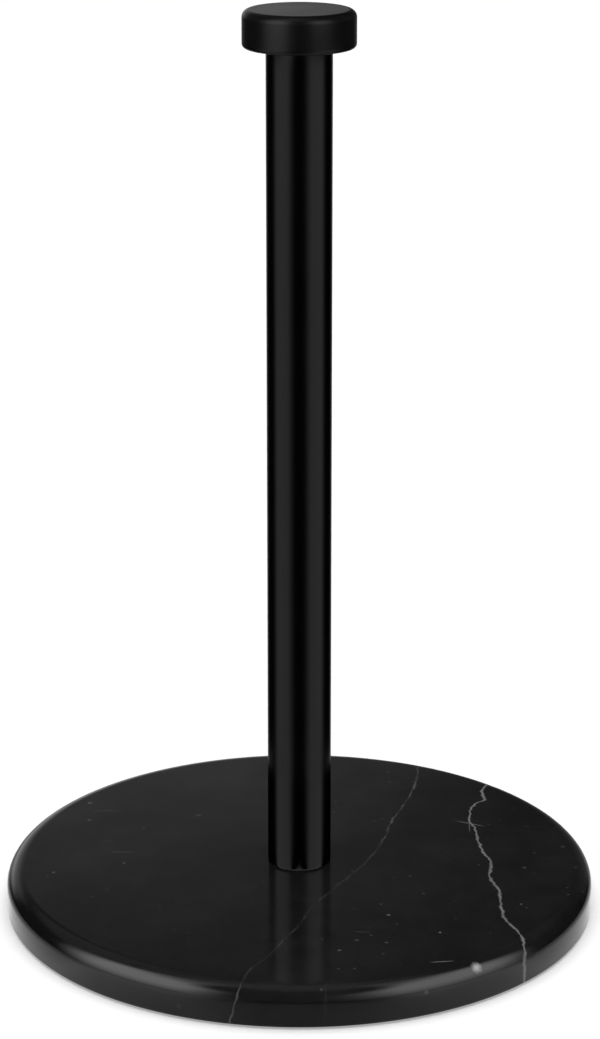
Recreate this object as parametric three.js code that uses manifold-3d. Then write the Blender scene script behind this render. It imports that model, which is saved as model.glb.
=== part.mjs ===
// Countertop paper towel holder: a round black marble base, a painted steel post and a screw-on knob.
// Millimetres, +Z up. The origin is on the counter, under the post's axis.
import * as THREE from "three";
import { mergeVertices } from "three/addons/utils/BufferGeometryUtils.js";
import Module from "manifold-3d";

const wasm = await Module();
wasm.setup();

// ---- Driving dimensions ----
const FOOT_HEIGHT = 0.6; // rubber pads under the marble
const FOOT_RADIUS = 8;
const FOOT_DRAFT = 0.2; // how much narrower a pad is just above its lower edge
const FOOT_EDGE_ROUNDING = 0.2;
const FOOT_COUNT = 4;
const FOOT_CIRCLE_RADIUS = 82;

const BASE_RADIUS = 103;
const BASE_THICKNESS = 14;
const BASE_TOP_ROUNDING = 6;
const BASE_BOTTOM_ROUNDING = 1;
const ROLL_CORE_RADIUS = 20; // a paper roll stands on the marble outside this circle

const POST_RADIUS = 11;
const POST_WALL = 1;
const POST_LENGTH = 285.65;
const POST_EDGE_BREAK = 0.25;

const KNOB_RADIUS = 18.8;
const KNOB_HEIGHT = 12.5;
const KNOB_TOP_ROUNDING = 2.6;
const KNOB_BOTTOM_ROUNDING = 1.5;

const GASKET_THICKNESS = 0.5; // between the post and the marble
const GASKET_SETBACK = 0.5; // how far it stays inside the post's outline
const KNOB_WASHER_THICKNESS = 0.75; // between the post and the knob
const KNOB_WASHER_SETBACK = 0.75;

const THREAD_GAP = 0.3; // radial room between a screw and its hole, where the real threads mesh
const PLUG_GAP = 0.2; // radial room between a plug and the tube around it

// Base screw: M6 x 20 button head, drawn up through the marble into the post's foot plug.
const SCREW_RADIUS = 3;
const SCREW_LENGTH = 20;
const SCREW_HEAD_RADIUS = 5.25;
const SCREW_HEAD_HEIGHT = 3.3;
const SCREW_RIM_HEIGHT = 0.6; // upright part of the head, where it meets its washer
const SCREW_FACE_RADIUS = 3.2; // flat around the socket
const SCREW_SOCKET_FLATS = 4;
const SCREW_SOCKET_DEPTH = 2;
const SCREW_TIP_CHAMFER = 0.7;

const RECESS_RADIUS = 14; // counterbore under the marble, for the screw head and its washers
const RECESS_DEPTH = 8;
const MARBLE_HOLE_RADIUS = 4;
const STONE_WASHER = { inner: 4, outer: 12, thickness: 1 };
const STEEL_WASHER = { inner: 3.3, outer: 11, thickness: 1.6 };
const LOCK_WASHER = { inner: 3.3, outer: 5.9, thickness: 1.6, gap: 1.2 };

const PLUG_LENGTH = 15;
const PLUG_CHAMFER = 0.8;

// Knob stud: M8 x 22, fixed in the knob. Its lower 12.5 mm turns in the post's head plug.
const STUD_RADIUS = 4;
const STUD_LENGTH = 22;
const STUD_ENGAGEMENT = 12.5;
const STUD_CHAMFER = 0.7;
const STUD_END_GAP = 0.5; // between the stud and the bottom of the knob's hole
const STUD_SOCKET_FLATS = 4;
const STUD_SOCKET_DEPTH = 4;

const BASE_SEGMENTS = 96;
const ROUND_SEGMENTS = 64;
const SMALL_SEGMENTS = 36;
const BIG_EDGE_STEPS = 8; // straight steps in a round edge
const SMALL_EDGE_STEPS = 3;
const DOME_STEPS = 4;

// ---- Heights of the stack, from the counter up ----
const BASE_BOTTOM = FOOT_HEIGHT;
const BASE_TOP = BASE_BOTTOM + BASE_THICKNESS;
const RECESS_CEILING = BASE_BOTTOM + RECESS_DEPTH;
const STONE_WASHER_BOTTOM = RECESS_CEILING - STONE_WASHER.thickness;
const STEEL_WASHER_BOTTOM = STONE_WASHER_BOTTOM - STEEL_WASHER.thickness;
const LOCK_WASHER_BOTTOM = STEEL_WASHER_BOTTOM - LOCK_WASHER.thickness;
const POST_BOTTOM = BASE_TOP + GASKET_THICKNESS;
const POST_TOP = POST_BOTTOM + POST_LENGTH;
const KNOB_BOTTOM = POST_TOP + KNOB_WASHER_THICKNESS;

// ---- Materials ----
const finish = (color, roughness, metalness) =>
  new THREE.MeshStandardMaterial({ color, roughness, metalness });
const blackMarble = finish(0x17171a, 0.12, 0);
const blackPaint = finish(0x0b0b0c, 0.38, 0.2);
const plainSteel = finish(0x8f9194, 0.4, 1);
const zincPlate = finish(0xb4b7ba, 0.35, 1);
const blackRubber = finish(0x1c1c1d, 0.85, 0);
const blackNylon = finish(0x101011, 0.55, 0);

// ---- Shape helpers ----
const point = (radius, height) => new THREE.Vector2(radius, height);

// Points on a round edge of a profile, from one angle to another, both ends included.
function roundEdge(centreRadius, centreHeight, radius, fromDegrees, toDegrees, steps) {
  const points = [];
  for (let i = 0; i <= steps; i++) {
    const angle = THREE.MathUtils.degToRad(fromDegrees + ((toDegrees - fromDegrees) * i) / steps);
    points.push(
      point(centreRadius + radius * Math.cos(angle), centreHeight + radius * Math.sin(angle)),
    );
  }
  return points;
}

// Turns a profile of (radius, height) points about +Z. The points run up the outside.
function turned(profile, segments) {
  return new THREE.LatheGeometry(profile, segments).rotateX(Math.PI / 2);
}

// A flat ring with square edges.
function ring({ inner, outer, thickness }, segments) {
  const start = point(inner, 0);
  return turned(
    [start, point(outer, 0), point(outer, thickness), point(inner, thickness), start],
    segments,
  );
}

function toSolid(geometry) {
  const bare = geometry.clone();
  bare.deleteAttribute("normal");
  bare.deleteAttribute("uv");
  const merged = mergeVertices(bare, 1e-4);
  return new wasm.Manifold(
    new wasm.Mesh({
      numProp: 3,
      vertProperties: merged.attributes.position.array,
      triVerts: new Uint32Array(merged.index.array),
    }),
  );
}

function toGeometry(solid) {
  const mesh = solid.getMesh();
  const geometry = new THREE.BufferGeometry()
    .setAttribute("position", new THREE.BufferAttribute(mesh.vertProperties, 3))
    .setIndex(new THREE.BufferAttribute(mesh.triVerts, 1));
  geometry.computeVertexNormals();
  return geometry;
}

// Cuts a hexagon socket of the given width across flats upwards into the bottom of a screw.
function withHexSocket(geometry, acrossFlats, depth) {
  const overcut = 1;
  const cornerRadius = acrossFlats / Math.sqrt(3);
  const hexagon = new THREE.CylinderGeometry(cornerRadius, cornerRadius, depth + overcut, 6)
    .rotateX(Math.PI / 2)
    .translate(0, 0, (depth - overcut) / 2);
  return toGeometry(toSolid(geometry).subtract(toSolid(hexagon)));
}

function piece(name, geometry, material, height) {
  const mesh = new THREE.Mesh(geometry, material);
  mesh.name = name;
  mesh.position.z = height;
  return mesh;
}

// ---- Pieces, each drawn with its lowest point at height 0 ----

// Marble disc with a rounded rim, a hole for the screw and a recess below for its head.
function marbleBase() {
  const start = point(RECESS_RADIUS, 0);
  const low = BASE_BOTTOM_ROUNDING;
  const high = BASE_TOP_ROUNDING;
  return turned(
    [
      start,
      ...roundEdge(BASE_RADIUS - low, low, low, -90, 0, SMALL_EDGE_STEPS),
      ...roundEdge(BASE_RADIUS - high, BASE_THICKNESS - high, high, 0, 90, BIG_EDGE_STEPS),
      point(ROLL_CORE_RADIUS, BASE_THICKNESS),
      point(MARBLE_HOLE_RADIUS, BASE_THICKNESS),
      point(MARBLE_HOLE_RADIUS, RECESS_DEPTH),
      point(RECESS_RADIUS, RECESS_DEPTH),
      start,
    ],
    BASE_SEGMENTS,
  );
}

// Self-adhesive pad, slightly narrower where it meets the counter.
function footPad() {
  const edge = FOOT_EDGE_ROUNDING;
  const centre = FOOT_RADIUS - FOOT_DRAFT - edge;
  return turned(
    [
      point(0, 0),
      ...roundEdge(centre, edge, edge, -90, 0, SMALL_EDGE_STEPS),
      point(FOOT_RADIUS, FOOT_HEIGHT),
      point(0, FOOT_HEIGHT),
    ],
    SMALL_SEGMENTS,
  );
}

// Plain tube with its cut edges broken outside and inside.
function postTube() {
  const inner = POST_RADIUS - POST_WALL;
  const bevel = POST_EDGE_BREAK;
  const start = point(inner, bevel);
  return turned(
    [
      start,
      point(inner + bevel, 0),
      point(POST_RADIUS - bevel, 0),
      point(POST_RADIUS, bevel),
      point(POST_RADIUS, POST_LENGTH - bevel),
      point(POST_RADIUS - bevel, POST_LENGTH),
      point(inner + bevel, POST_LENGTH),
      point(inner, POST_LENGTH - bevel),
      start,
    ],
    ROUND_SEGMENTS,
  );
}

// Threaded plug, welded flush into one end of the tube. Its inner end is chamfered.
function tubePlug(holeRadius, chamferOnTop) {
  const outer = POST_RADIUS - POST_WALL - PLUG_GAP;
  const lowChamfer = chamferOnTop ? 0 : PLUG_CHAMFER;
  const highChamfer = chamferOnTop ? PLUG_CHAMFER : 0;
  const start = point(holeRadius, 0);
  const profile = [start, point(outer - lowChamfer, 0)];
  if (lowChamfer) profile.push(point(outer, lowChamfer));
  if (highChamfer) profile.push(point(outer, PLUG_LENGTH - highChamfer));
  profile.push(point(outer - highChamfer, PLUG_LENGTH), point(holeRadius, PLUG_LENGTH), start);
  return turned(profile, ROUND_SEGMENTS);
}

// Button-head screw, head down, with a hexagon socket in the head.
function baseScrew() {
  const domeWidth = SCREW_HEAD_RADIUS - SCREW_FACE_RADIUS;
  const domeHeight = SCREW_HEAD_HEIGHT - SCREW_RIM_HEIGHT;
  const dome = [];
  for (let i = 0; i <= DOME_STEPS; i++) {
    const angle = (i * Math.PI) / (2 * DOME_STEPS);
    const radius = SCREW_FACE_RADIUS + domeWidth * Math.sin(angle);
    dome.push(point(radius, domeHeight * (1 - Math.cos(angle))));
  }
  const tip = SCREW_HEAD_HEIGHT + SCREW_LENGTH;
  const profile = [
    point(0, 0),
    ...dome,
    point(SCREW_HEAD_RADIUS, SCREW_HEAD_HEIGHT),
    point(SCREW_RADIUS, SCREW_HEAD_HEIGHT),
    point(SCREW_RADIUS, tip - SCREW_TIP_CHAMFER),
    point(SCREW_RADIUS - SCREW_TIP_CHAMFER, tip),
    point(0, tip),
  ];
  return withHexSocket(turned(profile, SMALL_SEGMENTS), SCREW_SOCKET_FLATS, SCREW_SOCKET_DEPTH);
}

// Split spring washer, pressed flat: a ring with a gap in it.
function lockWasher() {
  const { inner, outer, thickness, gap } = LOCK_WASHER;
  const innerStart = Math.asin(gap / 2 / inner);
  const outerStart = Math.asin(gap / 2 / outer);
  const outline = new THREE.Shape();
  outline.absarc(0, 0, outer, outerStart, 2 * Math.PI - outerStart, false);
  outline.absarc(0, 0, inner, 2 * Math.PI - innerStart, innerStart, true);
  outline.closePath();
  return new THREE.ExtrudeGeometry(outline, {
    depth: thickness,
    bevelEnabled: false,
    curveSegments: SMALL_SEGMENTS,
  });
}

// Disc knob with a rounded top edge and a blind threaded hole in its underside.
function knobBody() {
  const holeRadius = STUD_RADIUS + THREAD_GAP;
  const holeDepth = STUD_LENGTH - STUD_ENGAGEMENT - KNOB_WASHER_THICKNESS + STUD_END_GAP;
  const low = KNOB_BOTTOM_ROUNDING;
  const high = KNOB_TOP_ROUNDING;
  return turned(
    [
      point(0, holeDepth),
      point(holeRadius, holeDepth),
      point(holeRadius, 0),
      ...roundEdge(KNOB_RADIUS - low, low, low, -90, 0, SMALL_EDGE_STEPS),
      ...roundEdge(KNOB_RADIUS - high, KNOB_HEIGHT - high, high, 0, 90, BIG_EDGE_STEPS),
      point(0, KNOB_HEIGHT),
    ],
    ROUND_SEGMENTS,
  );
}

// Threaded stud with a chamfer at each end and a hexagon socket in its lower end.
function knobStud() {
  const profile = [
    point(0, 0),
    point(STUD_RADIUS - STUD_CHAMFER, 0),
    point(STUD_RADIUS, STUD_CHAMFER),
    point(STUD_RADIUS, STUD_LENGTH - STUD_CHAMFER),
    point(STUD_RADIUS - STUD_CHAMFER, STUD_LENGTH),
    point(0, STUD_LENGTH),
  ];
  return withHexSocket(turned(profile, SMALL_SEGMENTS), STUD_SOCKET_FLATS, STUD_SOCKET_DEPTH);
}

// ---- Assembly ----
const holder = new THREE.Group();

const base = new THREE.Group();
base.add(piece("marble_base", marbleBase(), blackMarble, BASE_BOTTOM));
base.add(
  piece("stone_washer", ring(STONE_WASHER, SMALL_SEGMENTS), blackRubber, STONE_WASHER_BOTTOM),
  piece("steel_washer", ring(STEEL_WASHER, SMALL_SEGMENTS), zincPlate, STEEL_WASHER_BOTTOM),
  piece("lock_washer", lockWasher(), zincPlate, LOCK_WASHER_BOTTOM),
  piece("base_screw", baseScrew(), zincPlate, LOCK_WASHER_BOTTOM - SCREW_HEAD_HEIGHT),
);
for (let i = 0; i < FOOT_COUNT; i++) {
  const angle = ((i + 0.5) * 2 * Math.PI) / FOOT_COUNT;
  const pad = piece(`foot_pad_${i + 1}`, footPad(), blackRubber, 0);
  pad.position.x = FOOT_CIRCLE_RADIUS * Math.cos(angle);
  pad.position.y = FOOT_CIRCLE_RADIUS * Math.sin(angle);
  base.add(pad);
}
holder.add(base);

const post = new THREE.Group();
const gasket = {
  inner: MARBLE_HOLE_RADIUS,
  outer: POST_RADIUS - GASKET_SETBACK,
  thickness: GASKET_THICKNESS,
};
post.add(
  piece("post_gasket", ring(gasket, ROUND_SEGMENTS), blackRubber, BASE_TOP),
  piece("post_tube", postTube(), blackPaint, POST_BOTTOM),
  piece("foot_plug", tubePlug(SCREW_RADIUS + THREAD_GAP, true), plainSteel, POST_BOTTOM),
  piece("head_plug", tubePlug(STUD_RADIUS + THREAD_GAP, false), plainSteel, POST_TOP - PLUG_LENGTH),
);
holder.add(post);

const knob = new THREE.Group();
const knobWasher = {
  inner: STUD_RADIUS + THREAD_GAP,
  outer: POST_RADIUS - KNOB_WASHER_SETBACK,
  thickness: KNOB_WASHER_THICKNESS,
};
knob.add(
  piece("knob_washer", ring(knobWasher, ROUND_SEGMENTS), blackNylon, POST_TOP),
  piece("knob_stud", knobStud(), zincPlate, POST_TOP - STUD_ENGAGEMENT),
  piece("knob", knobBody(), blackPaint, KNOB_BOTTOM),
);
holder.add(knob);

export default holder;
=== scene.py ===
"""Black marble paper towel holder: its looks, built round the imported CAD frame. Metres, +Z up."""

import math

import bpy
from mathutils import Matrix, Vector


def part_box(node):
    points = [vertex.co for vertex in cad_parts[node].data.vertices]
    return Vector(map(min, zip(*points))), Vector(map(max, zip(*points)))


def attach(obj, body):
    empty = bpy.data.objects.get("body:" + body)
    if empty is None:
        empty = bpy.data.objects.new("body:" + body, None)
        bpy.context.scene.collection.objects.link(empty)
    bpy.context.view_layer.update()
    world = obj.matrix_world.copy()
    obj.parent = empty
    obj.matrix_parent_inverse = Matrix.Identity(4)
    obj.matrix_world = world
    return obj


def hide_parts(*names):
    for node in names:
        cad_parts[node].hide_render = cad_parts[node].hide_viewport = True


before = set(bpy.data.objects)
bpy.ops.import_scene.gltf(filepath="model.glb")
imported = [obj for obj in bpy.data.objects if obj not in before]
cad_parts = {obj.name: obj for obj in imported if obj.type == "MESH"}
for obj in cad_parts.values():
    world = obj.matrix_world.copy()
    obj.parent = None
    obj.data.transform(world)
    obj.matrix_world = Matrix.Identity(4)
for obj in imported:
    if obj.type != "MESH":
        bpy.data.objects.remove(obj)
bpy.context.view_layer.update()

MM = 0.001
TURN = 2 * math.pi


# ---- Meshes: outlines turned about the post's axis ----

def span(node):
    """Lowest height, highest height and outer radius of a CAD node that stands on the post's axis."""
    low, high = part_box(node)
    return low.z, high.z, (high.x - low.x) / 2


def rounded(corners, closed=False, steps=6, guard=0.12 * MM):
    """An outline through corners (radius, height, rounding), with arcs at the corners.

    A guard point on each side of an arc keeps the flat beside it flat when the piece is shaded smooth.
    """
    outline = []
    count = len(corners)
    for i, (radius, height, rounding) in enumerate(corners):
        at_end = i in (0, count - 1) and not closed
        if at_end or rounding == 0:
            outline.append((radius, height))
            continue
        before, after = corners[i - 1], corners[(i + 1) % count]
        back = (before[0] - radius, before[1] - height)
        ahead = (after[0] - radius, after[1] - height)
        back_length, ahead_length = math.hypot(*back), math.hypot(*ahead)
        back = (back[0] / back_length, back[1] / back_length)
        ahead = (ahead[0] / ahead_length, ahead[1] / ahead_length)
        half = math.acos(max(-1.0, min(1.0, back[0] * ahead[0] + back[1] * ahead[1]))) / 2
        reach = rounding / math.tan(half)
        middle = (back[0] + ahead[0], back[1] + ahead[1])
        middle_length = math.hypot(*middle)
        centre_distance = rounding / math.sin(half)
        centre = (radius + middle[0] / middle_length * centre_distance,
                  height + middle[1] / middle_length * centre_distance)
        first = math.atan2(height + back[1] * reach - centre[1], radius + back[0] * reach - centre[0])
        last = math.atan2(height + ahead[1] * reach - centre[1], radius + ahead[0] * reach - centre[0])
        sweep = (last - first + math.pi) % TURN - math.pi
        if reach + guard < back_length / 2:
            outline.append((radius + back[0] * (reach + guard), height + back[1] * (reach + guard)))
        for k in range(steps + 1):
            angle = first + sweep * k / steps
            outline.append((centre[0] + rounding * math.cos(angle),
                            centre[1] + rounding * math.sin(angle)))
        if reach + guard < ahead_length / 2:
            outline.append((radius + ahead[0] * (reach + guard), height + ahead[1] * (reach + guard)))
    return outline


def make_piece(name, vertices, faces, sharp_degrees):
    mesh = bpy.data.meshes.new(name)
    mesh.from_pydata(vertices, [], faces)
    mesh.validate()
    mesh.shade_smooth()
    if sharp_degrees:
        mesh.set_sharp_from_angle(angle=math.radians(sharp_degrees))
    piece = bpy.data.objects.new(name, mesh)
    bpy.context.scene.collection.objects.link(piece)
    return piece


def turned(name, outline, segments, closed=False, centre=(0, 0), sharp_degrees=40):
    """Turns an outline about an upright axis. A radius may be a function of the angle round the axis.

    The outline runs up the outside, from the axis back to the axis, or closes on itself.
    """
    vertices, loops, faces = [], [], []
    for radius, height in outline:
        start = len(vertices)
        if radius == 0:
            vertices.append((centre[0], centre[1], height))
            loops.append([start] * segments)
            continue
        for k in range(segments):
            angle = TURN * k / segments
            r = radius(angle) if callable(radius) else radius
            vertices.append((centre[0] + r * math.cos(angle), centre[1] + r * math.sin(angle), height))
        loops.append(list(range(start, start + segments)))
    uppers = loops[1:] + ([loops[0]] if closed else [])
    for lower, upper in zip(loops, uppers):
        for k in range(segments):
            n = (k + 1) % segments
            corners = list(dict.fromkeys([lower[k], lower[n], upper[n], upper[k]]))
            if len(corners) > 2:
                faces.append(corners)
    return make_piece(name, vertices, faces, sharp_degrees)


def ring_outline(inner, outer, low, high, rounding):
    """The closed outline of a ring with four rounded edges."""
    corners = [(inner, low), (outer, low), (outer, high), (inner, high)]
    return rounded([(r, z, rounding) for r, z in corners], closed=True, steps=3, guard=0.05 * MM)


def thread_depth(angle, height, pitch):
    """How far a right-handed screw's surface lies below its crest, from 0 to 1. Crests and roots are flat."""
    place = (height / pitch - angle / TURN) % 1.0
    crest, root = 1 / 16, 3 / 8
    return max(0.0, min(1.0, (abs(place - 0.5) - crest) / (root - crest)))


THREAD_ROWS = 10  # rows of vertices in one pitch
THREAD_DEPTH = 0.61  # of the pitch


def outer_thread(radius, pitch, low, high, chamfer):
    """Outline points up a screw's outside. Its two ends taper below the thread by the chamfer."""
    rows = round((high - low) / pitch * THREAD_ROWS)
    outline = []
    for k in range(rows + 1):
        z = low + (high - low) * k / rows
        cone = radius - max(0.0, chamfer - min(z - low, high - z))

        def at(angle, z=z, cone=cone):
            return min(cone, radius - THREAD_DEPTH * pitch * thread_depth(angle, z, pitch))

        outline.append((at, z))
    return outline


def inner_thread(radius, pitch, high, low, chamfer):
    """Outline points down a threaded hole's wall. The mouth at the low end widens by the chamfer."""
    rows = round((high - low) / pitch * THREAD_ROWS)
    outline = []
    for k in range(rows + 1):
        z = high + (low - high) * k / rows
        cone = radius - THREAD_DEPTH * pitch + max(0.0, chamfer - (z - low))

        def at(angle, z=z, cone=cone):
            return max(cone, radius - THREAD_DEPTH * pitch * thread_depth(angle, z, pitch))

        outline.append((at, z))
    return outline


def hexagon(across_flats):
    """The radius of a hexagonal hole as a function of the angle."""
    def at(angle):
        return across_flats / 2 / math.cos(angle % (TURN / 6) - TURN / 12)
    return at


# ---- Materials ----

class Nodes:
    """Adds nodes to one shader tree. An input is a number, a tuple or another node's socket."""

    def __init__(self, tree):
        self.tree = tree
        tree.nodes.clear()

    def set(self, socket, value):
        if isinstance(value, bpy.types.NodeSocket):
            self.tree.links.new(value, socket)
        else:
            socket.default_value = value

    def add(self, kind, inputs=None, **settings):
        made = self.tree.nodes.new("ShaderNode" + kind)
        for key, value in settings.items():
            setattr(made, key, value)
        for key, value in (inputs or {}).items():
            self.set(made.inputs[key], value)
        return made

    def math(self, operation, *values, clamp=False):
        made = self.add("Math", operation=operation, use_clamp=clamp)
        for socket, value in zip(made.inputs, values):
            self.set(socket, value)
        return made.outputs[0]

    def times(self, *values):
        total = values[0]
        for value in values[1:]:
            total = self.math("MULTIPLY", total, value)
        return total

    def plus(self, *values):
        total = values[0]
        for value in values[1:]:
            total = self.math("ADD", total, value)
        return total

    def most(self, *values):
        total = values[0]
        for value in values[1:]:
            total = self.math("MAXIMUM", total, value)
        return total

    def smooth(self, value, low, high, start=0.0, end=1.0):
        """Goes softly from start at low to end at high."""
        made = self.add("MapRange", interpolation_type="SMOOTHSTEP", inputs={
            "Value": value, "From Min": low, "From Max": high, "To Min": start, "To Max": end})
        return made.outputs["Result"]

    def noise(self, vector, scale, detail=3.0, roughness=0.5):
        made = self.add("TexNoise", inputs={
            "Vector": vector, "Scale": scale, "Detail": detail, "Roughness": roughness})
        return made.outputs["Fac"]

    def bumped(self, height, distance, normal=None):
        made = self.add("Bump", inputs={"Height": height, "Distance": distance})
        if normal is not None:
            self.set(made.inputs["Normal"], normal)
        return made.outputs["Normal"]

    def mixed(self, share, first, second):
        made = self.add("Mix", data_type="RGBA")
        self.set(made.inputs["Factor"], share)
        self.set(made.inputs[6], first)
        self.set(made.inputs[7], second)
        return made.outputs[2]


def start_material(name):
    """A new material, its nodes, and the place on the piece in millimetres."""
    material = bpy.data.materials.new(name)
    material.use_nodes = True
    n = Nodes(material.node_tree)
    place = n.add("TexCoord").outputs["Object"]
    millimetres = n.add("VectorMath", operation="SCALE", inputs={"Vector": place, "Scale": 1000.0})
    return material, n, millimetres.outputs["Vector"]


def end_material(n, **inputs):
    shader = n.add("BsdfPrincipled", inputs={key.replace("_", " "): v for key, v in inputs.items()})
    output = n.add("OutputMaterial")
    n.tree.links.new(shader.outputs["BSDF"], output.inputs["Surface"])


STONE_REACH = 105.0  # mm either side of the middle that a vein's route covers
TOP_HEIGHT = 14.6  # mm, of the stone's flat top


def vein(n, place, route, width, seed, wander, lean=0.0):
    """A thin sheet of calcite in the stone. Its route along the top is a list of (y, x) in mm.

    Below the top it moves towards +X by the lean times the depth.
    """
    xyz = n.add("SeparateXYZ", inputs={"Vector": place}).outputs
    across, along = xyz["X"], xyz["Y"]
    curve = n.add("FloatCurve")
    line = curve.mapping.curves[0]
    ends = [(y / STONE_REACH / 2 + 0.5, x / STONE_REACH / 2 + 0.5) for y, x in sorted(route)]
    line.points[0].location = ends[0]
    line.points[1].location = ends[-1]
    for point in ends[1:-1]:
        line.points.new(*point)
    for point in line.points:
        point.handle_type = "AUTO_CLAMPED"
    curve.mapping.update()
    n.set(curve.inputs["Value"], n.math("MULTIPLY_ADD", along, 0.5 / STONE_REACH, 0.5))
    middle = n.math("MULTIPLY_ADD", curve.outputs["Value"], 2 * STONE_REACH, -STONE_REACH)
    sheet = n.add("CombineXYZ", inputs={"X": float(seed), "Y": along, "Z": xyz["Z"]}).outputs["Vector"]
    coarse = n.math("SUBTRACT", n.noise(sheet, 0.15, 2.0), 0.5)
    fine = n.math("SUBTRACT", n.noise(sheet, 0.6, 3.0, 0.65), 0.5)
    depth = n.math("SUBTRACT", TOP_HEIGHT, xyz["Z"])
    shift = n.plus(n.times(coarse, 3.0 * wander), n.times(fine, 3.0 * wander), n.times(depth, -lean))
    offset = n.math("ABSOLUTE", n.math("SUBTRACT", n.math("ADD", across, shift), middle))
    swell = n.smooth(n.noise(sheet, 0.22, 2.0), 0.3, 0.7, 0.55, 1.35)
    reach = n.times(swell, width)
    body = n.math("SUBTRACT", 1.0, n.math("DIVIDE", offset, reach), clamp=True)
    return n.smooth(body, 0.0, 0.85)


def dash(n, place, x, y, degrees, half_length, width):
    """A short straight crack, tapering to its ends."""
    moved = n.add("VectorMath", operation="SUBTRACT", inputs={0: place, 1: (x, y, 0.0)})
    turn = n.add("VectorRotate", rotation_type="Z_AXIS", inputs={
        "Vector": moved.outputs["Vector"], "Angle": -math.radians(degrees)})
    xyz = n.add("SeparateXYZ", inputs={"Vector": turn.outputs["Vector"]}).outputs
    along, across = n.math("ABSOLUTE", xyz["X"]), n.math("ABSOLUTE", xyz["Y"])
    taper = n.math("SUBTRACT", 1.0, n.math("DIVIDE", along, half_length), clamp=True)
    reach = n.math("MULTIPLY_ADD", n.math("POWER", taper, 0.5), width, 0.001)
    body = n.math("SUBTRACT", 1.0, n.math("DIVIDE", across, reach), clamp=True)
    return n.times(n.smooth(body, 0.0, 0.9), n.smooth(taper, 0.0, 0.5))


def specks(n, place, spacing, share, size, seed):
    """Scattered grains: one in each cell of the given spacing in mm, for that share of the cells."""
    moved = n.add("VectorMath", operation="ADD", inputs={0: place, 1: (seed, seed / 2, 0.0)})
    cells = n.add("TexVoronoi", inputs={
        "Vector": moved.outputs["Vector"], "Scale": 1 / spacing, "Randomness": 1.0})
    chosen = n.math("LESS_THAN", n.add("SeparateColor", inputs={
        "Color": cells.outputs["Color"]}).outputs["Red"], share)
    grain = n.smooth(cells.outputs["Distance"], size * 0.3 / spacing, size / spacing, 1.0, 0.0)
    return n.times(chosen, grain)


MAIN_VEIN = [
    (105, 76), (70, 70.5), (61, 68), (54, 68.5), (51, 65.5), (35, 62), (27, 63.5), (10, 64.5),
    (-4, 67.5), (-16, 66.5), (-28, 69), (-45, 69), (-58, 72.5), (-66, 74.5), (-77, 75), (-105, 74)]
FAINT_VEIN = [
    (105, 47), (84, 45), (67, 43), (48, 38), (32, 33), (18, 30.5), (-1, 24), (-17, 16), (-26, 11.5),
    (-40, 4.5), (-57, -1), (-67, -5.5), (-77, -9.5), (-91, -17), (-105, -20)]
RIM_VEIN = [(105, 8.5), (0, 8.5), (-105, 8.5)]
CRACKS = [  # x, y, degrees, half length, width, strength
    (62.0, 31.6, -26, 7.0, 0.45, 0.75),
    (61.6, 29.0, 88, 6.0, 0.35, 0.5),
    (-71.0, 43.5, 2, 7.0, 0.5, 0.16),
    (-63.0, 6.2, 1, 5.5, 0.45, 0.25),
    (-70.0, 16.0, -2, 4.0, 0.5, 0.1),
    (46.8, -82.8, 8, 5.0, 0.5, 0.7),
    (21.0, -60.0, -4, 3.5, 0.45, 0.2),
    (-61.8, -3.5, -60, 1.6, 0.5, 0.3)]
GRAINS = [  # x, y, depth below the top, half width, strength
    (47.0, -60.5, 0.0, 0.8, 0.6), (75.8, -38.0, 0.0, 0.9, 0.5),
    (79.0, -7.5, 0.0, 1.0, 0.3), (30.2, -46.8, 0.0, 0.8, 0.55), (13.2, -74.4, 0.0, 0.8, 0.6),
    (-77.3, 51.0, 0.0, 1.4, 0.3), (-76.5, 35.0, 0.0, 1.3, 0.25), (28.8, -68.5, 0.0, 0.8, 0.3),
    (-86.0, -11.5, 0.0, 0.8, 0.35)]


SPOT = (58.3, -83.3, 1.8, 2.5)  # the same four, of the one large white crystal
RAGGED = 1.6  # mm, how far noise moves the edge of a grain
VEIN_COLOUR = (0.16, 0.158, 0.154, 1.0)
CRYSTAL_COLOUR = (0.36, 0.355, 0.35, 1.0)


def from_grain(n, ragged, x, y, depth):
    """The distance from a grain's centre. Noise moves every place by half of RAGGED on average."""
    centre = (x + RAGGED / 2, y + RAGGED / 2, TOP_HEIGHT - depth + RAGGED / 2)
    return n.add("VectorMath", operation="DISTANCE", inputs={0: ragged, 1: centre}).outputs["Value"]


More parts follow.
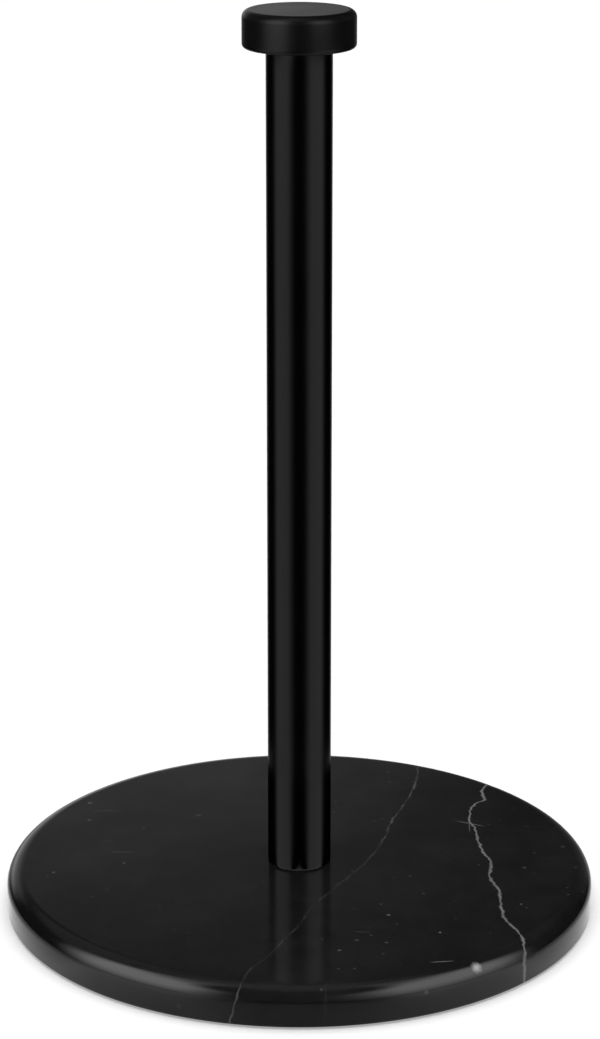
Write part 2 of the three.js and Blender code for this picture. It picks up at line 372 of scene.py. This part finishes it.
def marble():
    """Polished black stone with calcite veins, cracks and grains, and a honed underside."""
    material, n, place = start_material("black_marble")
    level = n.add("VectorMath", operation="MULTIPLY", inputs={0: place, 1: (1.0, 1.0, 0.0)})
    top = level.outputs["Vector"]
    patchy = n.smooth(n.noise(place, 0.16, 3.0), 0.35, 0.62, 0.25, 1.0)
    xyz = n.add("SeparateXYZ", inputs={"Vector": place}).outputs
    along = xyz["Y"]
    main = n.times(vein(n, place, MAIN_VEIN, 0.7, 11, 0.45), n.smooth(patchy, 0.0, 1.0, 0.8, 1.0))
    strength = n.most(n.smooth(along, -10.0, 45.0, 0.12, 0.4), n.smooth(along, -95.0, -101.0, 0.0, 0.5))
    faint = n.times(vein(n, place, FAINT_VEIN, 0.6, 37, 0.5, -0.26), patchy, strength)
    rim = n.times(vein(n, place, RIM_VEIN, 0.6, 71, 0.4), n.smooth(along, -97.0, -102.0, 0.0, 0.045))
    pale = n.most(main, faint, rim)
    for x, y, degrees, half_length, width, strength in CRACKS:
        pale = n.most(pale, n.times(dash(n, top, x, y, degrees, half_length, width), strength))
    ragged = n.add("TexNoise", inputs={"Vector": place, "Scale": 0.9, "Detail": 3.0}).outputs["Color"]
    ragged = n.add("VectorMath", operation="MULTIPLY_ADD", inputs={
        0: ragged, 1: (RAGGED, RAGGED, RAGGED), 2: place}).outputs["Vector"]
    for x, y, depth, half_width, strength in GRAINS:
        away = from_grain(n, ragged, x, y, depth)
        pale = n.most(pale, n.smooth(away, 0.2 * half_width, half_width, strength, 0.0))
    dust = n.most(
        n.times(specks(n, place, 5.0, 0.4, 0.7, 3.0), 0.22),
        n.times(specks(n, place, 11.0, 0.4, 1.2, 40.0), 0.26))
    pale = n.most(pale, n.times(dust, n.smooth(n.noise(place, 0.03, 2.0), 0.4, 0.6)))
    cloud = n.smooth(n.noise(place, 0.035, 5.0, 0.6), 0.35, 0.75)
    ground = n.mixed(cloud, (0.006, 0.006, 0.0061, 1.0), (0.011, 0.011, 0.0113, 1.0))
    x, y, depth, half_width = SPOT
    spot = n.smooth(from_grain(n, ragged, x, y, depth), 0.1 * half_width, half_width, 1.0, 0.0)
    colour = n.mixed(spot, n.mixed(pale, ground, VEIN_COLOUR), CRYSTAL_COLOUR)
    honed = n.smooth(xyz["Z"], 1.0, 2.2, 1.0, 0.0)
    worn = n.smooth(n.noise(place, 0.5, 4.0), 0.3, 0.7, -0.012, 0.02)
    polish = n.plus(n.math("MULTIPLY_ADD", honed, 0.4, 0.11), worn, n.times(pale, 0.06))
    waves = n.bumped(n.noise(place, 0.04, 1.0), 0.02 * MM)
    pits = n.bumped(n.times(pale, -1.0), 0.02 * MM, normal=waves)
    end_material(n, Base_Color=colour, Roughness=polish, Normal=pits, IOR=1.62)
    return material


def powder_coat(name, roughness, grey, ior):
    """Satin black powder coat: a fine orange peel with a few coarser grains."""
    material, n, place = start_material(name)
    peel = n.noise(place, 1.4, 2.0)
    fine = n.noise(place, 6.0, 2.0)
    drift = n.noise(place, 0.06, 3.0)
    normal = n.bumped(peel, 0.006 * MM, normal=n.bumped(fine, 0.0015 * MM))
    gloss = n.plus(n.smooth(drift, 0.3, 0.7, roughness - 0.015, roughness + 0.015),
                   n.smooth(fine, 0.3, 0.8, 0.0, 0.03))
    dark = (grey * 0.8, grey * 0.8, grey * 0.82, 1.0)
    light = (grey * 1.3, grey * 1.3, grey * 1.32, 1.0)
    colour = n.mixed(n.smooth(fine, 0.35, 0.7), dark, light)
    end_material(n, Base_Color=colour, Roughness=gloss, Normal=normal, IOR=ior)
    return material


def metal(name, shade, roughness, rings, tint=(1.0, 1.0, 1.0)):
    """Turned or plated steel. Tool marks run round the axis at the given number per mm."""
    material, n, place = start_material(name)
    xyz = n.add("SeparateXYZ", inputs={"Vector": place}).outputs
    flat = n.add("CombineXYZ", inputs={"X": xyz["X"], "Y": xyz["Y"]}).outputs["Vector"]
    radius = n.add("VectorMath", operation="LENGTH", inputs={0: flat}).outputs["Value"]
    path = n.add("CombineXYZ", inputs={"X": radius, "Y": xyz["Z"]}).outputs["Vector"]
    marks = n.noise(path, rings, 3.0, 0.7)
    stain = n.noise(place, 0.35, 4.0)
    dark = tuple(shade * 0.8 * t for t in tint) + (1.0,)
    light = tuple(shade * 1.1 * t for t in tint) + (1.0,)
    colour = n.mixed(n.smooth(stain, 0.3, 0.7), dark, light)
    gloss = n.smooth(marks, 0.3, 0.7, roughness - 0.07, roughness + 0.09)
    normal = n.bumped(marks, 0.004 * MM)
    end_material(n, Base_Color=colour, Metallic=1.0, Roughness=gloss, Normal=normal)
    return material


def rubber(name, grey, grain):
    """Matt black rubber with a dusty, slightly pitted skin."""
    material, n, place = start_material(name)
    skin = n.noise(place, grain, 4.0, 0.6)
    dust = n.smooth(n.noise(place, 0.4, 4.0, 0.6), 0.45, 0.75)
    colour = n.mixed(dust, (grey, grey, grey, 1.0), (grey * 2.2, grey * 2.15, grey * 2.1, 1.0))
    gloss = n.smooth(skin, 0.3, 0.7, 0.62, 0.8)
    end_material(n, Base_Color=colour, Roughness=gloss, Normal=n.bumped(skin, 0.02 * MM), IOR=1.48)
    return material


def nylon():
    """Black moulded nylon."""
    material, n, place = start_material("black_nylon")
    skin = n.noise(place, 2.5, 3.0)
    colour = n.mixed(n.smooth(skin, 0.3, 0.7), (0.008, 0.008, 0.008, 1.0), (0.013, 0.013, 0.013, 1.0))
    gloss = n.smooth(skin, 0.3, 0.7, 0.4, 0.5)
    end_material(n, Base_Color=colour, Roughness=gloss, Normal=n.bumped(skin, 0.008 * MM), IOR=1.53)
    return material


# ---- Pieces ----

def install(piece, body, material, slot, *nodes):
    """Gives a piece its material and puts it in place of its CAD nodes."""
    piece.data.materials.append(material)
    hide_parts(*nodes)
    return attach(piece, body)


BASE_TOP_ROUNDING = 6 * MM
BASE_BOTTOM_ROUNDING = 1 * MM
RECESS_RADIUS = 14 * MM
RECESS_DEPTH = 8 * MM
SCREW_HOLE_RADIUS = 4 * MM


def base_piece():
    low, high, radius = span("marble_base")
    ceiling = low + RECESS_DEPTH
    corners = [
        (RECESS_RADIUS, low, 0.4 * MM),
        (radius, low, BASE_BOTTOM_ROUNDING),
        (radius, high, BASE_TOP_ROUNDING),
        (SCREW_HOLE_RADIUS, high, 0.2 * MM),
        (SCREW_HOLE_RADIUS, ceiling, 0.2 * MM),
        (RECESS_RADIUS, ceiling, 0.8 * MM)]
    outline = rounded(corners, closed=True, steps=14, guard=0.3 * MM)
    return turned("stone_disc", outline, 288, closed=True)


POST_WALL = 1 * MM


def post_piece():
    low, high, radius = span("post_tube")
    inner = radius - POST_WALL
    return turned("post", ring_outline(inner, radius, low, high, 0.25 * MM), 144, closed=True)


KNOB_ROUNDING = 2.6 * MM
KNOB_LOWER_ROUNDING = 1.5 * MM
STUD_PITCH = 1.25 * MM
KNOB_HOLE_DEPTH = 9.25 * MM
FIT = 0.06 * MM  # radial room between two threads that are screwed together
SOCKET_WIDTH = 4 * MM  # across the flats of the hexagonal sockets in the stud and the screw


def knob_piece():
    low, high, radius = span("knob")
    stud_radius = span("knob_stud")[2]
    hole = low + KNOB_HOLE_DEPTH
    mouth = stud_radius + 0.4 * MM
    thread = inner_thread(stud_radius + FIT, STUD_PITCH, hole, low, 0.6 * MM)
    corners = [
        (mouth, low, 0), (radius, low, KNOB_LOWER_ROUNDING), (radius, high, KNOB_ROUNDING), (0, high, 0)]
    skin = rounded(corners, steps=14, guard=0.2 * MM)
    return turned("knob_disc", [(0, hole + 1.2 * MM), *thread, *skin], 192)


def stud_piece():
    low, high, radius = span("knob_stud")
    socket = hexagon(SOCKET_WIDTH)
    depth = low + 4 * MM
    outline = [(0, depth + 1.1 * MM), (socket, depth), (socket, low + 0.2 * MM), (2.45 * MM, low)]
    outline += outer_thread(radius - 0.04 * MM, STUD_PITCH, low, high, 0.7 * MM)
    outline.append((0, high))
    return turned("stud", outline, 72, sharp_degrees=0)


def plug_piece(name, node, pitch, screw_radius, chamfer_on_top):
    low, high, radius = span(node)
    lower, upper = (0.2 * MM, 0.8 * MM) if chamfer_on_top else (0.8 * MM, 0.2 * MM)
    mouth = screw_radius + 0.35 * MM
    corners = [(mouth, low, 0), (radius, low, lower), (radius, high, upper), (mouth, high, 0)]
    skin = rounded(corners, steps=3)
    thread = inner_thread(screw_radius + FIT, pitch, high, low, 0.6 * MM)
    return turned(name, skin + thread, 72, closed=True)


SCREW_PITCH = 1.0 * MM
SCREW_HEAD_HEIGHT = 3.3 * MM
SCREW_FACE_RADIUS = 3.2 * MM
SCREW_SHANK_RADIUS = 3 * MM
DOME_STEPS = 10


def screw_piece():
    low, high, radius = span("base_screw")
    under_head = low + SCREW_HEAD_HEIGHT
    dome_height = SCREW_HEAD_HEIGHT - 0.6 * MM
    socket = hexagon(SOCKET_WIDTH)
    depth = low + 2 * MM
    outline = [(0, depth + 1.0 * MM), (socket, depth), (socket, low + 0.2 * MM), (2.5 * MM, low)]
    for k in range(DOME_STEPS + 1):
        angle = math.pi / 2 * k / DOME_STEPS
        outline.append((SCREW_FACE_RADIUS + (radius - SCREW_FACE_RADIUS) * math.sin(angle),
                        low + dome_height * (1 - math.cos(angle))))
    outline += [(radius, under_head - 0.15 * MM), (radius - 0.15 * MM, under_head)]
    outline += [(SCREW_SHANK_RADIUS + 0.1 * MM, under_head)]
    outline += outer_thread(SCREW_SHANK_RADIUS - 0.04 * MM, SCREW_PITCH, under_head, high, 0.6 * MM)
    outline.append((0, high))
    return turned("button_screw", outline, 72, sharp_degrees=35)


def lock_washer_piece():
    """A split spring washer: a bent bar with rounded edges and a slanted gap."""
    low, high = (corner.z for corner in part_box("lock_washer"))
    inner, outer, edge = 3.3 * MM, 5.9 * MM, 0.15 * MM
    gap, slant, steps = math.radians(9), math.radians(8), 60
    section = ring_outline(inner, outer, low, high, edge)
    vertices, faces = [], []
    for k in range(steps + 1):
        for r, z in section:
            lean = slant * (z - low) / (high - low)
            angle = gap + (TURN - 2 * gap) * k / steps + lean - slant / 2
            vertices.append((r * math.cos(angle), r * math.sin(angle), z))
    count = len(section)
    for k in range(steps):
        for i in range(count):
            j = (i + 1) % count
            faces.append([k * count + i, k * count + j, (k + 1) * count + j, (k + 1) * count + i])
    faces.append(list(range(count))[::-1])
    faces.append([steps * count + i for i in range(count)])
    return make_piece("spring_washer", vertices, faces, 40)


def washer_piece(name, node, inner, rounding):
    low, high, outer = span(node)
    return turned(name, ring_outline(inner, outer, low, high, rounding), 96, closed=True)


def pad_piece(node):
    low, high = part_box(node)
    centre = ((low.x + high.x) / 2, (low.y + high.y) / 2)
    radius = (high.x - low.x) / 2
    corners = [
        (0, low.z + 0.15 * MM, 0),
        (radius * 0.5, low.z + 0.15 * MM, 0.4 * MM),
        (radius * 0.56, low.z, 0.3 * MM),
        (radius - 0.2 * MM, low.z, 0.2 * MM),
        (radius, high.z, 0.1 * MM),
        (0, high.z, 0)]
    return turned(node + "_rubber", rounded(corners, steps=6, guard=0.1 * MM), 72, centre=centre)


def build_pieces():
    zinc = metal("zinc_plate", 0.62, 0.32, 3.0, (1.0, 1.0, 0.985))
    steel = metal("plain_steel", 0.42, 0.38, 4.0)
    washer_rubber = rubber("washer_rubber", 0.012, 1.5)
    foot_rubber = rubber("foot_rubber", 0.01, 2.2)
    post_paint = powder_coat("post_paint", 0.2, 0.0003, 1.5)
    knob_paint = powder_coat("knob_paint", 0.31, 0.001, 1.47)
    install(base_piece(), "stand", marble(), "black_marble", "marble_base")
    install(post_piece(), "stand", post_paint, "post_paint", "post_tube")
    install(knob_piece(), "knob", knob_paint, "knob_paint", "knob")
    install(stud_piece(), "knob", zinc, "zinc_plate", "knob_stud")
    install(plug_piece("foot_insert", "foot_plug", SCREW_PITCH, SCREW_SHANK_RADIUS, True),
            "stand", steel, "plain_steel", "foot_plug")
    install(plug_piece("head_insert", "head_plug", STUD_PITCH, span("knob_stud")[2], False),
            "stand", steel, "plain_steel", "head_plug")
    install(screw_piece(), "stand", zinc, "zinc_plate", "base_screw")
    install(lock_washer_piece(), "stand", zinc, "zinc_plate", "lock_washer")
    install(washer_piece("flat_washer", "steel_washer", 3.3 * MM, 0.2 * MM),
            "stand", zinc, "zinc_plate", "steel_washer")
    install(washer_piece("rubber_washer", "stone_washer", 4 * MM, 0.1 * MM),
            "stand", washer_rubber, "washer_rubber", "stone_washer")
    install(washer_piece("gasket", "post_gasket", 4 * MM, 0.1 * MM),
            "stand", washer_rubber, "washer_rubber", "post_gasket")
    install(washer_piece("nylon_washer", "knob_washer", 4.3 * MM, 0.15 * MM),
            "washer", nylon(), "black_nylon", "knob_washer")
    for node in sorted(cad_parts):
        if node.startswith("foot_pad"):
            install(pad_piece(node), "stand", foot_rubber, "foot_rubber", node)


# ---- Studio ----

CAMERA_PLACE = (0.00023, -1.0, 0.4563)
CAMERA_DIP = 17.53  # degrees below level
CAMERA_LENS = 106.51  # mm, on a sensor 36 mm wide


def camera():
    """In front of the holder and a little above it, looking down."""
    data = bpy.data.cameras.new("camera")
    data.sensor_width = 36
    data.lens = CAMERA_LENS
    made = bpy.data.objects.new("camera", data)
    made.location = CAMERA_PLACE
    made.rotation_euler = (math.radians(90 - CAMERA_DIP), 0, 0)
    bpy.context.scene.collection.objects.link(made)
    bpy.context.scene.camera = made


BAND_SEGMENTS = 96
PINHOLE = 0.5 * MM  # radius left open in the middle of a flat band


def band(name, first, last, material):
    """A surface turned about the post's axis between two (radius, height) points. It casts no shadow."""
    vertices, faces = [], []
    for radius, height in (first, last):
        for k in range(BAND_SEGMENTS):
            angle = TURN * k / BAND_SEGMENTS
            vertices.append((radius * math.cos(angle), radius * math.sin(angle), height))
    for k in range(BAND_SEGMENTS):
        n = (k + 1) % BAND_SEGMENTS
        faces.append([k, BAND_SEGMENTS + k, BAND_SEGMENTS + n, n])
    piece = make_piece(name, vertices, faces, 0)
    piece.visible_shadow = False
    piece.data.materials.append(material)
    return piece


def reflector(name, first, last, material):
    """A band that only reflections show."""
    piece = band(name, first, last, material)
    piece.visible_camera = False
    piece.visible_diffuse = False


FLOOR_RADIUS = 8.0  # m
FLOOR_COLOUR = (0.6, 0.6, 0.6, 1.0)
FLOOR_GLOW = 0.36


def floor():
    """A white floor that isn't seen from below and isn't reflected."""
    material, n, _ = start_material("floor_white")
    white = n.add("BsdfDiffuse", inputs={"Color": FLOOR_COLOUR})
    glow = n.add("Emission", inputs={"Strength": FLOOR_GLOW})
    lit = n.add("AddShader", inputs={0: white.outputs[0], 1: glow.outputs[0]})
    clear = n.add("BsdfTransparent")
    below = n.add("NewGeometry").outputs["Backfacing"]
    mix = n.add("MixShader", inputs={0: below, 1: lit.outputs[0], 2: clear.outputs[0]})
    n.add("OutputMaterial", inputs={"Surface": mix.outputs[0]})
    band("floor", (PINHOLE, 0), (FLOOR_RADIUS, 0), material).visible_glossy = False


def round_axis(n, place):
    """The distance from the post's axis, and the cosine of the angle round it from the front."""
    xyz = n.add("SeparateXYZ", inputs={"Vector": place}).outputs
    flat = n.add("CombineXYZ", inputs={"X": xyz["X"], "Y": xyz["Y"]}).outputs["Vector"]
    radius = n.add("VectorMath", operation="LENGTH", inputs={0: flat}).outputs["Value"]
    return xyz, radius, n.math("DIVIDE", n.times(xyz["Y"], -1.0), radius)


CARD_WIDTH = 36 * MM  # beyond the base
CARD_OVERLAP = 6 * MM  # under the base


def floor_card():
    """What the rim reflects of the floor: a ring round the foot of the base, dark in front and behind.

    The share of the inner brightness falls off outwards, and sooner at the sides.
    """
    material, n, place = start_material("floor_card")
    base_radius = span("marble_base")[2]
    edge = base_radius / MM
    _, radius, front = round_axis(n, place)
    near = n.plus(n.math("MULTIPLY_ADD", front, -0.74, 0.995), n.smooth(front, 0.95, 1.0, 0.0, -0.1),
                  n.smooth(front, 0.5, 0.72, 0.2, 0.0))
    lit = n.times(n.smooth(front, 0.88, 0.975, 0.55, 0.0), n.smooth(front, 0.5, 0.7, 0.35, 1.0))
    reach = n.plus(radius, n.smooth(front, 0.5, 0.72, 10.0, 0.0))
    strength = n.smooth(reach, edge + 6.0, edge + 30.0, near, n.plus(lit, 0.1))
    glow = n.add("Emission", inputs={"Strength": strength})
    n.add("OutputMaterial", inputs={"Surface": glow.outputs[0]})
    reflector("floor_card", (base_radius - CARD_OVERLAP, 0), (base_radius + CARD_WIDTH, 0), material)


PANEL_LEVEL = 0.47  # of the side panels, low down
INNER_EDGE = (0.72, 0.99)  # where a panel fades, as the cosine of the angle from the front
OUTER_EDGE = (-0.25, 0.2)
INNER_ANGLE = 31  # degrees from the front, of the middle of each edge
OUTER_ANGLE = 88


def top_card():
    """What the post's foot reflects of the marble: the side panels' light, which keeps the post even."""
    material, n, place = start_material("top_card")
    _, high, base_radius = span("marble_base")
    post_radius = span("post_tube")[2] / MM
    xyz = n.add("SeparateXYZ", inputs={"Vector": place}).outputs
    across = n.math("ABSOLUTE", xyz["X"])

    def front_from(degrees):
        """The cosine of the angle from the front, seen from where the post mirrors an angle."""
        half = math.radians(degrees / 2)
        x = n.math("SUBTRACT", across, post_radius * math.sin(half))
        y = n.math("ADD", xyz["Y"], post_radius * math.cos(half))
        reach = n.math("SQRT", n.plus(n.times(x, x), n.times(y, y), 0.01))
        return n.math("DIVIDE", n.times(y, -1.0), reach)

    strength = n.times(n.smooth(front_from(INNER_ANGLE), *INNER_EDGE, PANEL_LEVEL, 0.0),
                       n.smooth(front_from(OUTER_ANGLE), *OUTER_EDGE))
    glow = n.add("Emission", inputs={"Strength": strength})
    clear = n.add("BsdfTransparent")
    below = n.add("NewGeometry").outputs["Backfacing"]
    mix = n.add("MixShader", inputs={0: below, 1: glow.outputs[0], 2: clear.outputs[0]})
    n.add("OutputMaterial", inputs={"Surface": mix.outputs[0]})
    height = high + 0.02 * MM
    reflector("top_card", (PINHOLE, height), (base_radius - BASE_TOP_ROUNDING, height), material)


HOOD_RADIUS = 45 * MM
HOOD_LOW = 295 * MM
HOOD_TOP = 500 * MM


def hood():
    """What the knob reflects in front and above: a tall wall round it with a soft light on each side.

    The wall is clear behind the knob and from outside.
    """
    material, n, place = start_material("hood")
    xyz, _, front = round_axis(n, place)
    side, height = xyz["X"], xyz["Z"]
    left = n.times(n.smooth(height, 304.0, 320.0, 0.61, 1.35), n.smooth(height, 324.0, 350.0, 1.0, 0.38))
    right = n.times(n.smooth(height, 304.0, 320.0, 0.22, 1.02), n.smooth(height, 326.0, 350.0, 1.0, 0.12))
    level = n.smooth(side, -5.0, 5.0, left, right)
    outer = n.plus(front, n.smooth(side, -5.0, 5.0, 0.0, -0.06))
    bands = n.times(n.smooth(outer, 0.36, 0.76), n.smooth(front, 0.89, 0.9985, 1.0, 0.0))
    glint = n.times(n.smooth(front, 0.9, 1.0), n.smooth(height, 340.0, 420.0, 0.0, 0.45))
    ambient = n.smooth(height, 306.0, 320.0, 0.035, 0.08)
    glow = n.add("Emission", inputs={"Strength": n.plus(n.times(bands, level), glint, ambient)})
    clear = n.add("BsdfTransparent")
    inside = n.math("SUBTRACT", 1.0, n.add("NewGeometry").outputs["Backfacing"])
    mix = n.add("MixShader", inputs={
        0: n.times(inside, n.smooth(front, -0.5, -0.3)), 1: clear.outputs[0], 2: glow.outputs[0]})
    n.add("OutputMaterial", inputs={"Surface": mix.outputs[0]})
    reflector("hood", (HOOD_RADIUS, HOOD_LOW), (HOOD_RADIUS, HOOD_TOP), material)


BACKDROP = 1.2  # what the camera sees behind the scene


def sky():
    """White behind the scene. In reflections: a soft panel on each side and low glows behind."""
    world = bpy.data.worlds.new("studio")
    bpy.context.scene.world = world
    world.use_nodes = True
    world.cycles_visibility.diffuse = False
    n = Nodes(world.node_tree)
    direction = n.add("TexCoord").outputs["Generated"]
    xyz = n.add("SeparateXYZ", inputs={"Vector": direction}).outputs
    side, back, up = xyz["X"], xyz["Y"], xyz["Z"]
    level = n.math("SQRT", n.plus(n.times(side, side), n.times(back, back)))
    front = n.math("DIVIDE", n.times(back, -1.0), n.math("MAXIMUM", level, 0.02))
    right = n.smooth(side, -0.1, 0.1)
    above = n.smooth(up, -0.13, 0.1)
    narrower = n.times(above, n.smooth(side, -0.1, 0.1, 0.055, -0.02))
    inner = n.plus(front, narrower, n.smooth(up, 0.5, 0.95, 0.0, 0.25))
    outer = n.plus(front, n.smooth(up, 0.0, 0.75, 0.0, 0.15), n.times(above, right, -0.08))
    low_part = n.smooth(up, -0.15, 0.02, PANEL_LEVEL, PANEL_LEVEL + 0.45)
    height = n.plus(low_part, n.smooth(up, -0.1, 0.45, 0.0, 0.95))
    panel = n.times(
        n.smooth(outer, *OUTER_EDGE), n.smooth(inner, *INNER_EDGE, 1.0, 0.0), height,
        n.smooth(up, 0.7, 1.02, 1.0, 0.0), n.math("SUBTRACT", 1.0, n.times(above, right, 0.12)))
    low_glow = n.times(
        n.smooth(up, -0.12, 0.05),
        n.smooth(up, 0.05, 0.3, 0.62, 0.26),
        n.smooth(up, 0.28, 0.48, 1.0, 0.0))
    tilt = n.times(n.smooth(side, -0.04, 0.09, 1.0, 0.13), n.smooth(side, -0.12, -0.04, 1.25, 1.0))
    glow = n.times(low_glow, n.smooth(front, -0.93, -0.7, 1.0, 0.0), tilt)
    fill = n.times(
        n.smooth(up, 0.45, 0.6),
        n.smooth(front, -0.2, 0.3, 1.0, 0.0),
        n.smooth(side, -0.3, 0.1, 0.1, 0.03))
    zenith = n.smooth(up, 0.85, 0.98, 0.0, 0.1)
    ambient = n.plus(n.times(n.smooth(up, -0.13, 0.0), n.smooth(front, -0.2, 0.3), 0.035), 0.003)
    rear = n.times(n.smooth(front, -0.82, -0.93), n.smooth(up, -0.1, 0.0, 0.25, 0.0))
    total = n.plus(panel, glow, fill, zenith, rear, ambient)
    seen = n.add("LightPath").outputs["Is Camera Ray"]
    strength = n.plus(n.times(seen, BACKDROP), n.times(n.math("SUBTRACT", 1.0, seen), total))
    background = n.add("Background", inputs={"Color": (1.0, 1.0, 1.0, 1.0), "Strength": strength})
    n.add("OutputWorld", inputs={"Surface": background.outputs[0]})


SUN_ENERGY = 3.5
SUN_ANGLE = 60  # degrees across


def overhead():
    """Wide soft light from above, for the floor. It makes no highlights."""
    data = bpy.data.lights.new("overhead", "SUN")
    data.energy = SUN_ENERGY
    data.angle = math.radians(SUN_ANGLE)
    made = bpy.data.objects.new("overhead", data)
    made.location = (0, 0, 2)
    made.visible_glossy = False
    bpy.context.scene.collection.objects.link(made)


camera()
build_pieces()
floor()
floor_card()
top_card()
hood()
sky()
overhead()
bpy.context.scene.view_settings.view_transform = "Standard"
